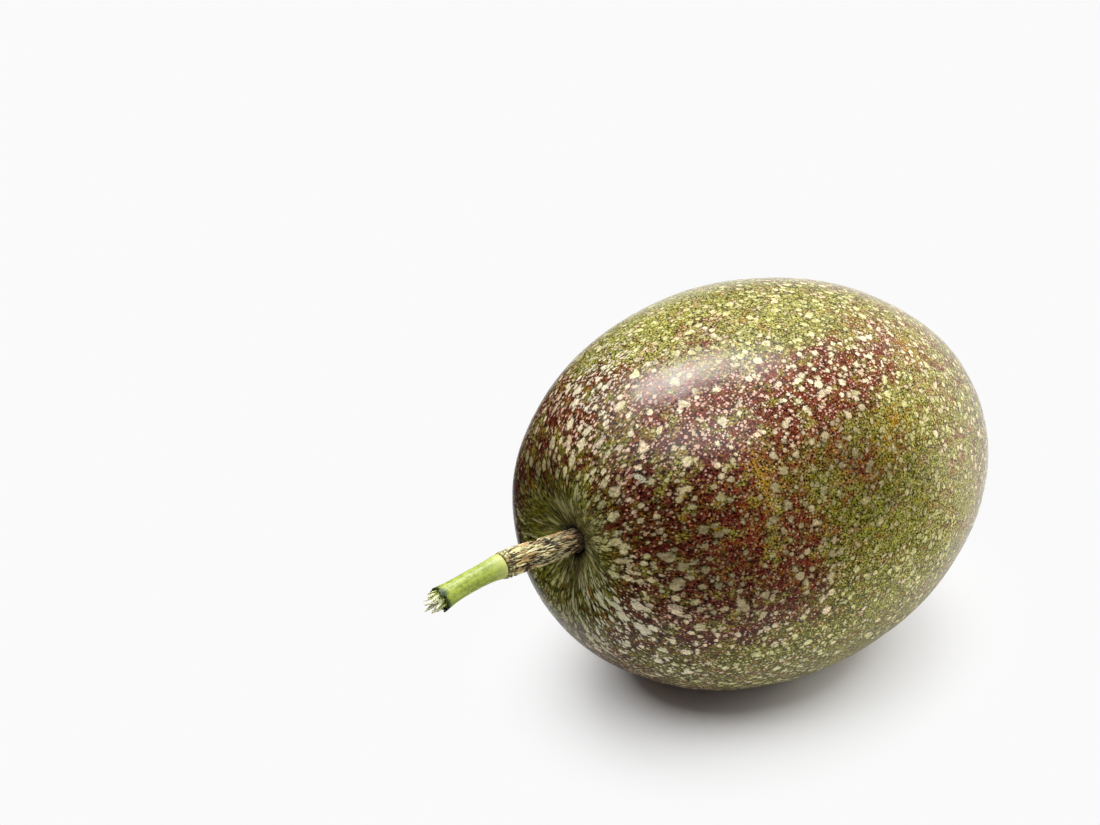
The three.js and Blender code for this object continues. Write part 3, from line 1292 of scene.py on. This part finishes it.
@dataclass
class CorkyStalk:
    """The dry length of stalk next to the fruit, split and flaking, with a collar at the joint."""

    line: StalkLine
    length: float = 15.25
    root_radius: float = 1.72
    end_radius: float = 2.0
    collar_height: float = 0.16
    ridges: tuple[tuple[float, float, float], ...] = ((0.32, 0.16, 1.0), (0.95, 0.16, 0.7))
    grooves: tuple[tuple[float, float, float], ...] = ((0.62, 0.12, 1.0), (1.3, 0.15, 1.0), (0.0, 0.1, 1.0))
    groove_depth: float = 0.8
    crack_width: float = 0.10
    crack_depth: float = 0.30
    flake_height: float = 0.24
    fibre_height: float = 0.10
    skin_loss: float = 0.06
    rings: int = 170
    around: int = 112

    def build(self, finish: CorkFinish) -> bpy.types.Object:
        """Builds the dry stalk and dresses it.

        Args:
            finish: its finish.

        Returns:
            The stalk.
        """
        along = np.linspace(0, self.length, self.rings)
        angle = circle(self.around)
        share = along / self.length
        radius = self.root_radius + (self.end_radius - self.root_radius) * share
        before_joint = self.length - along
        grooves = bands(before_joint, self.grooves)
        collar = bands(before_joint, self.ridges) - self.groove_depth * grooves
        furrow = crinkle(along, angle, 0.9, 9.0, 3.0)
        flake = crinkle(along, angle, 0.8, 3.5, 17.0)
        fibre = crinkle(along, angle, 0.28, 9.0, 29.0, 2)
        crack = np.clip(1.3 - np.abs(furrow) / self.crack_width, 0, 1)
        calm = (1 - 0.7 * bell(before_joint, 1.2))[:, None]
        relief = self.flake_height * ease(-0.12, 0.12, flake)
        relief = relief - self.crack_depth * crack + self.fibre_height * fibre
        relief = relief * calm - self.skin_loss
        full = radius[:, None] + relief + self.collar_height * collar[:, None]
        full = full * (1 - 0.18 * bell(along, 0.35))[:, None]
        body = self.line.sleeve(along, full, angle)
        inner = self.line.sleeve(np.full(3, self.length), full[-1] * np.array([[0.92], [0.6], [0.3]]), angle)
        root = self.line.sleeve(np.zeros(1), full[:1] * 0.5, angle)
        ends = self.line.at(np.array([0.0, self.length]))[0]
        points = np.concatenate([ends[:1], root, body, inner, ends[1:]])
        rings = np.concatenate([[0.0], along, np.full(3, self.length)])
        # Darkness for the cracks and collar grooves: partly the cork's own dark colour, partly painted shade
        # in the recesses.
        dark = np.maximum(crack * calm, self.groove_depth * np.minimum(grooves, 1)[:, None])
        dark_crevice_and_shade = np.concatenate([dark[:1], dark, np.full((3, self.around), self.groove_depth)])
        fields = stalk_fields(rings, angle, {"dark_crevice_and_shade": dark_crevice_and_shade})
        faces = turned_faces(len(rings), self.around)
        piece = finish_mesh("dry_stalk", points, faces, fields, finish.make())
        return settle(piece, "corky_stalk")


def stalk_fields(rings: Array, angle: Array, more: dict[str, Array]) -> dict[str, Array]:
    """Works out the fields that a stalk's material reads.

    Args:
        rings: each ring's distance from the root.
        angle: the corners' angles.
        more: other fields, ring by ring and corner by corner.

    Returns:
        The fields, with the corner before the first ring and the one after the last.
    """
    spread = np.repeat(rings, len(angle))
    turn = np.tile(angle, len(rings))
    place = np.stack([2 * np.sin(turn), spread, 2 * np.cos(turn)], axis=1)
    poles = np.array([[0, rings[0], 0], [0, rings[-1], 0]])
    fields = {"stalk_place": np.concatenate([poles[:1], place, poles[1:]])}
    fields["along"] = np.concatenate([rings[:1], spread, rings[-1:]])
    for name, rows in more.items():
        fields[name] = np.concatenate([rows[0, :1], rows.ravel(), rows[-1, :1]])
    return fields


@dataclass
class GreenStalk:
    """The fresh length of stalk beyond the joint, which ends in a torn rim round the pith."""

    line: StalkLine
    length: float = 11.2
    waist_radius: float = 1.6
    flare_radius: float = 1.95
    rim_width: float = 0.4
    well_depth: float = 0.7
    wrinkle_height: float = 0.045
    tear_height: float = 0.08
    tear_reach: float = 0.5
    tear_length: float = 1.1
    rings: int = 110
    around: int = 96

    def build(self, finish: GreenStalkFinish) -> bpy.types.Object:
        """Builds the green stalk and dresses it.

        Args:
            finish: its finish.

        Returns:
            The stalk.
        """
        angle = circle(self.around)
        share = np.linspace(0, 1, self.rings)
        from_middle = np.abs(2 * share - 1)
        radius = self.waist_radius + (self.flare_radius - self.waist_radius) * from_middle**3
        along = self.line.joint_at + self.length * share
        ripple = crinkle(along, angle, 2.2, 6.0, 41.0, 2)
        ragged = crinkle(np.array([5.0]), angle, 0.7, 1.0, 53.0)[0]
        full = radius[:, None] + self.wrinkle_height * ripple
        full = full * (1 - 0.04 * bell(along - self.line.joint_at, 0.25))[:, None]
        full = full + np.multiply.outer(bell(share - 1, 0.05), self.tear_height * ragged)
        reach = along[:, None] + np.multiply.outer(ease(0.75, 1.0, share), self.tear_reach * ragged)
        lip = full[-1] - self.rim_width * np.array([[0.25], [0.7], [1.0]])
        lip_along = reach[-1] + np.array([[0.08], [0.0], [-0.25]])
        well = np.array([[1.2], [0.5]]) * np.ones(self.around)
        well_along = np.full_like(well, along[-1] - self.well_depth)
        start = np.concatenate([0.5 * full[:1], full, lip, well])
        start_along = np.concatenate([reach[:1], reach, lip_along, well_along])
        body = self.line.sleeve(start_along, start, angle)
        ends = self.line.at(np.array([along[0], along[-1] - self.well_depth]))[0]
        points = np.concatenate([ends[:1], body, ends[1:]])
        rows = len(start)
        past_joint = start_along - self.line.joint_at + 0.35 * ragged
        edge = ease(self.length - self.tear_length, self.length - 0.1, past_joint)
        torn = edge * (np.arange(rows) < rows - 2)[:, None]
        flesh = np.zeros_like(torn)
        flesh[-2:] = 1.0
        fields = stalk_fields(start_along.mean(axis=1), angle, {"torn": torn, "flesh": flesh})
        faces = turned_faces(rows, self.around)
        piece = finish_mesh("fresh_stalk", points, faces, fields, finish.make())
        return settle(piece, "green_stalk")


@dataclass
class TornFibres:
    """The tuft of torn pith in the green stalk's end."""

    line: StalkLine
    starts_at: float = 25.6
    core_radius: float = 1.05
    longest: float = 4.1
    strands: int = 26
    shortest: float = 0.55
    steepest: float = 0.28
    curl: float = 0.10
    wide: tuple[float, float] = (0.34, 0.56)
    thin: tuple[float, float] = (0.18, 0.28)
    around: int = 7
    rings: int = 12

    def build(self, finish: PithFinish) -> bpy.types.Object:
        """Builds the tuft and dresses it.

        Args:
            finish: its finish.

        Returns:
            The tuft.
        """
        draw = np.random.default_rng(11)
        angle = circle(self.around)
        centre, way, up = (rows[0] for rows in self.line.at(np.array([self.starts_at])))
        points, faces, places, reach = [], [], [], []
        for strand in range(self.strands):
            out = self.core_radius * math.sqrt(draw.uniform(0, 1))
            turn = draw.uniform(0, 2 * math.pi)
            length = self.longest * draw.uniform(self.shortest, 1.0) * (1 - 0.25 * out / self.core_radius)
            lean = draw.uniform(0.0, self.steepest) * out / self.core_radius
            curl = draw.normal(0, self.curl, 2)
            wide, thin = draw.uniform(*self.wide), draw.uniform(*self.thin)
            twist = draw.uniform(0, math.pi)
            share = np.linspace(0, 1, self.rings)
            taper = np.sqrt(np.clip(1.02 - share**2.2, 0.02, 1))
            away = out + lean * length * share
            x = away * math.cos(turn) + curl[0] * length * share**2
            y = away * math.sin(turn) + curl[1] * length * share**2
            spine = centre + np.outer(share * length, way) + np.outer(x, up) + np.outer(y, SIDEWAYS)
            a, b = wide * np.cos(angle), thin * np.sin(angle)
            across = a * math.cos(twist) - b * math.sin(twist)
            over = a * math.sin(twist) + b * math.cos(twist)
            offsets = np.multiply.outer(across, SIDEWAYS) + np.multiply.outer(over, up)
            ring = spine[:, None] + taper[:, None, None] * offsets[None]
            first = sum(len(rows) for rows in points)
            points.append(np.concatenate([spine[:1], ring.reshape(-1, 3), spine[-1:] + 0.03 * way]))
            faces += turned_faces(self.rings, self.around, first)
            own = np.concatenate([[0], np.repeat(share * length, self.around), [length]])
            reach.append(self.starts_at + own)
            cross = np.concatenate([[0], np.tile(a, self.rings), [0]])
            places.append(np.stack([cross + 3 * strand, own, np.zeros_like(own)], axis=1))
        fields = {"stalk_place": np.concatenate(places), "along": np.concatenate(reach)}
        piece = finish_mesh("torn_fibres", np.concatenate(points), faces, fields, finish.make())
        return settle(piece, "green_stalk")


@dataclass(frozen=True)
class SoftBox:
    """A lamp that either lights the skin or shows as a gleam in it.

    toward says where it hangs, as parts right, away and up. size is its width and depth in metres, and glow
    is how bright its face is, where 1 is white.
    """

    name: str
    toward: tuple[float, float, float]
    size: tuple[float, float]
    glow: float
    shines: bool = False


@dataclass
class Studio:
    """Pale floor, soft boxes, white surroundings and the camera."""

    view_turn: float = math.radians(-38.66)
    view_height: float = math.radians(33)
    step_back: float = 0.6479
    step_right: float = -0.03173
    step_up: float = 0.01029
    lens: float = 137.45
    sensor: float = 36.0
    floor_size: float = 6.0
    box_distance: float = 0.6
    boxes: tuple[SoftBox, ...] = (
        SoftBox("main_box", (-0.10, 0.38, 0.90), (0.55, 0.40), 5.7),
        SoftBox("front_box", (-0.42, -0.36, 0.84), (0.45, 0.25), 2.9),
        SoftBox("right_box", (0.80, 0.10, 0.60), (0.30, 0.30), 3.5),
        SoftBox("bright_gleam", (-0.34, 0.33, 0.89), (0.33, 0.12), 19.5, shines=True),
        SoftBox("long_gleam", (0.00, 0.34, 0.92), (0.46, 0.19), 8.8, shines=True),
        SoftBox("front_gleam", (-0.10, -0.33, 0.94), (0.48, 0.24), 4.0, shines=True),
        SoftBox("left_gleam", (-0.66, -0.10, 0.74), (0.26, 0.34), 1.3, shines=True),
        SoftBox("far_gleam", (-0.58, 0.38, 0.72), (0.24, 0.20), 2.0, shines=True),
    )

    @property
    def away(self) -> Vector:
        """The level direction from the camera's side to the far side."""
        return Vector((-math.sin(self.view_turn), math.cos(self.view_turn), 0))

    @property
    def right(self) -> Vector:
        """The level direction to the right."""
        return Vector((math.cos(self.view_turn), math.sin(self.view_turn), 0))

    def add_camera(self, middle: Vector) -> None:
        """Adds the camera.

        Args:
            middle: the fruit's middle, in metres.
        """
        back = -self.away * math.cos(self.view_height) + UP * math.sin(self.view_height)
        up = back.cross(self.right)
        camera = bpy.data.objects.new("camera", bpy.data.cameras.new("camera"))
        camera.data.lens = self.lens
        camera.data.sensor_width = self.sensor
        camera.data.clip_start = 0.01
        turn = Matrix((self.right, up, back)).transposed().to_4x4()
        place = middle + back * self.step_back + self.right * self.step_right + up * self.step_up
        camera.matrix_world = Matrix.Translation(place) @ turn
        bpy.context.scene.collection.objects.link(camera)
        bpy.context.scene.camera = camera

    def add_box(self, box: SoftBox, middle: Vector) -> None:
        """Hangs a soft box so that it faces the fruit.

        Args:
            box: the soft box.
            middle: the fruit's middle, in metres.
        """
        across, far, up = box.toward
        way = (self.right * across + self.away * far + UP * up).normalized()
        lamp = bpy.data.lights.new(box.name, "AREA")
        lamp.shape = "RECTANGLE"
        lamp.size, lamp.size_y = box.size
        lamp.energy = box.glow * math.pi * box.size[0] * box.size[1]
        hung = bpy.data.objects.new(box.name, lamp)
        hung.visible_glossy = box.shines
        hung.visible_diffuse = not box.shines
        deep = way.cross(self.right).normalized()
        turn = Matrix((deep.cross(way), deep, way)).transposed().to_4x4()
        hung.matrix_world = Matrix.Translation(middle + way * self.box_distance) @ turn
        bpy.context.scene.collection.objects.link(hung)

    def add_surroundings(self) -> None:
        """Lights the world: white to look at, pale behind the fruit and dim on the camera's side."""
        world = bpy.data.worlds.new("surroundings")
        world.use_nodes = True
        world.node_tree.nodes.clear()
        bench = NodeBench(world.node_tree)
        way = bench.add("ShaderNodeTexCoord").outputs["Generated"]
        ray = bench.add("ShaderNodeLightPath")
        away, right, up = (bench.dot(way, side) for side in (self.away, self.right, UP))
        pale = bench.times(bench.rise(away, 0.3, 0.75), bench.rise(right, -0.5, 0.6))
        high = bench.line(bench.rise(up, 0.05, 0.5), 0.6, 0.25)
        shine = bench.line(bench.times(pale, high), 1.0, 0.01)
        shine = bench.times(shine, ray.outputs["Is Glossy Ray"])
        side = self.right * 0.62 + self.away * 0.35 + UP * 0.7
        fill = bench.dot(way, side)
        fill = bench.line(bench.rise(fill, 0.15, 1.0), 1.1, 0.03)
        fill = bench.times(fill, bench.rest(ray.outputs["Is Glossy Ray"]))
        other = bench.math("ADD", shine, fill)
        seen = bench.math("MAXIMUM", ray.outputs["Is Camera Ray"], ray.outputs["Is Transmission Ray"])
        strength = bench.math("MAXIMUM", bench.times(seen, FloorFinish.white), other)
        light = bench.add("ShaderNodeBackground", {"Color": WHITE, "Strength": strength})
        bench.add("ShaderNodeOutputWorld", {"Surface": light.outputs[0]})
        bpy.context.scene.world = world

    def add_floor(self, finish: FloorFinish) -> None:
        """Lays the floor under the fruit.

        Args:
            finish: the floor's finish.
        """
        half = self.floor_size / 2
        corners = [(-half, -half, 0), (half, -half, 0), (half, half, 0), (-half, half, 0)]
        mesh = bpy.data.meshes.new("floor")
        mesh.from_pydata(corners, [], [[0, 1, 2, 3]])
        mesh.materials.append(finish.make(-self.right, self.away))
        floor = bpy.data.objects.new("floor", mesh)
        bpy.context.scene.collection.objects.link(floor)

    def build(self, middle: Vector) -> None:
        """Sets the studio up round the fruit.

        Args:
            middle: the fruit's middle, in metres.
        """
        self.add_camera(middle)
        self.add_floor(FloorFinish())
        self.add_surroundings()
        for box in self.boxes:
            self.add_box(box, middle)
        bpy.context.scene.view_settings.view_transform = "Standard"


# Each row: distance from the stem, turn, reach along, reach around, strength.
BLUSHES = {
    Tint.WINE: (
        (32, 56, 13, 10, 0.2), (46, 36, 12, 8, 0.15), (22, 45, 15, 15, 0.6), (32, 22, 6, 6, 0.4),
        (50, 30, 9, 6, 0.5), (58, 33, 8, 5, 0.5), (68, 26, 7, 5, 0.3), (20, -38, 10, 9, 0.6),
        (26, -14, 8, 7, 0.15), (18, 7, 7, 6, -0.35), (40, 82, 10, 8, 0.4), (25, 88, 11, 10, 0.45),
        (54, 60, 6, 5, 0.35), (44, -5, 5, 4, 0.3), (27, 108, 14, 12, 0.2), (22, -85, 8, 10, 0.4),
        (17, 140, 7, 9, 0.35), (27, 37, 3.2, 3.2, -0.9), (25, 44, 6, 4, 0.3), (57, 74, 9, 8, -0.2),
        (65, 45, 8, 7, -0.3), (14, -55, 9, 9, 0.1), (34, 125, 22, 14, -0.4), (28, 88, 12, 7, 0.15),
        (43, -24, 15, 12, -0.4), (55, 6, 11, 8, -0.35), (22, 72, 2.5, 2.5, -0.6), (33, 78, 3, 3, -0.6),
        (58, 88, 14, 14, -0.4), (47, 60, 7, 7, -0.2), (37.5, 56, 1.8, 9, -0.3), (40, 170, 16, 14, 0.5),
        (68, -118, 14, 12, 0.5), (34, -125, 18, 11, 0.6), (90, 150, 10, 12, 0.3),
    ),
    Tint.DEEP: (
        (22, 45, 10, 10, 0.5), (27, 108, 14, 12, 0.25), (15, -53, 9, 9, 0.6), (32, 125, 24, 20, 0.35),
        (34, -125, 14, 9, 0.3),
    ),
    Tint.LEAF: (
        (15, -53, 8, 9, -0.4), (27, 37, 3.5, 3.5, 0.5), (57, 74, 9, 8, 0.2), (65, 45, 8, 7, 0.2),
        (56, 62, 12, 12, -0.3), (32, 125, 24, 20, -0.25), (43, -24, 15, 12, 0.3), (62, 98, 14, 12, 0.2),
        (55, -100, 12, 10, 0.3), (60, 150, 12, 10, 0.3),
    ),
    Tint.OCHRE: (
        (37.5, 50, 1.6, 5, 0.5), (64, 47, 3, 3, 0.45), (60, 53, 2.5, 2.5, 0.4), (76, 28, 4, 4, 0.4),
        (68, 16, 3, 3, 0.35),
    ),
    Tint.PALE: (
        (75, 36, 14, 20, 0.42), (56, 62, 12, 12, -0.2), (43, -24, 15, 12, 0.2), (55, 6, 11, 8, 0.15),
        (77, 80, 9, 10, 0.4), (37.5, 56, 1.8, 9, 0.4),
    ),
    Tint.DENSE: (
        (28, 16, 10, 8, -0.2), (8, -165, 7, 7, 0.25), (10, 128, 8, 9, 0.2), (28, 121, 7, 8, -0.22),
        (22, -22, 12, 12, 0.25), (34, 32, 6, 6, 0.2), (15, -53, 8, 9, -0.45), (14, -55, 9, 9, -0.25),
        (26, 55, 16, 13, -0.35), (36, 20, 12, 8, 0.3), (34, 48, 8, 8, 0.2), (42, 66, 14, 12, -0.15),
        (40, -20, 25, 15, 0.25), (75, 50, 22, 30, -0.1), (30, 115, 25, 20, 0.05), (65, 98, 8, 9, 0.12),
        (58, 3, 7, 6, -0.12), (17, 21, 6, 6, 0.15), (27, 29, 5, 5, 0.2),
    ),
    Tint.BOLD: (
        (42, -12, 22, 14, 0.1), (64, 10, 20, 24, 0.2), (74, 60, 18, 28, 0.12), (30, 14, 10, 8, -0.2),
        (50, 30, 10, 8, 0.1), (17, 20, 9, 18, 0.2), (18, 115, 15, 16, 0.35), (9, 100, 8, 12, 0.3),
        (9, -20, 8, 10, 0.2), (34, 50, 12, 14, -0.1), (8, -165, 7, 7, 0.15), (10, 128, 8, 9, 0.15),
        (15, -53, 7, 7, -0.2),
    ),
    Tint.FAINT: (
        (34, 52, 16, 13, 0.28), (56, 65, 14, 14, 0.38), (51, 54, 8, 8, 0.26), (25, 66, 6, 6, 0.12),
        (10, 125, 8, 8, -0.12), (44, 68, 5, 5, -0.14), (43, 118, 14, 10, -0.2), (38, 84, 13, 9, 0.2),
        (35, 8, 9, 8, 0.3), (15, -53, 8, 9, 0.3), (15, -53, 5, 5, 0.15), (44, -20, 18, 12, 0.12),
        (77, 50, 12, 12, -0.08), (38, -21, 10, 8, -0.2), (47, 34, 8, 7, -0.36), (59, 30, 8, 7, -0.12),
        (18, 7, 7, 7, -0.15), (48, 88, 7, 7, -0.15), (72, 25, 11, 11, -0.14), (29, -21, 8, 8, -0.3),
        (34, 32, 7, 7, -0.42), (17, 111, 9, 11, -0.32), (24, 15, 6, 6, -0.1), (27, 100, 9, 10, 0.1),
        (25, -14, 8, 8, -0.15), (27, 62, 9, 10, 0.12), (30, 76, 14, 10, 0.15), (65, 98, 8, 9, -0.15),
        (23, 85, 8, 6, 0.12), (58, 3, 7, 6, 0.08), (27, 134, 7, 7, -0.15),
    ),
}

# Each nick: shade, its two ends as distance from the stem and turn, width, lift.
NICKS = (
    Nick(paint("d0cfb0"), (20.5, 28.0), (21.8, 35.5), 0.34, 2.0),
    Nick(paint("1c0a06"), (21.3, 27.0), (22.3, 34.5), 0.16, -3.0),
    Nick(paint("d8cfae"), (20.0, 106.0), (21.2, 109.0), 0.14, 0.5),
)


def main() -> None:
    """Builds the fruit, its stalk and the studio round them."""
    fruit = Fruit()
    lie = fruit.lie()
    seat = fruit.half_length - fruit.dimple_depth - fruit.seat_depth
    root = lie.place(seat + STALK_CLEARANCE, 0.0, fruit.dimple_rise)
    line = StalkLine(root=root, heading=fruit.tilt + STALK_RISE)
    blushes = [Blush(tint, *row) for tint, rows in BLUSHES.items() for row in rows]
    fruit.build(RindFinish(), blushes, NICKS)
    CorkyStalk(line).build(CorkFinish())
    GreenStalk(line).build(GreenStalkFinish())
    TornFibres(line).build(PithFinish())
    Studio().build(Vector(lie.middle * MM))


if __name__ == "__main__":
    main()
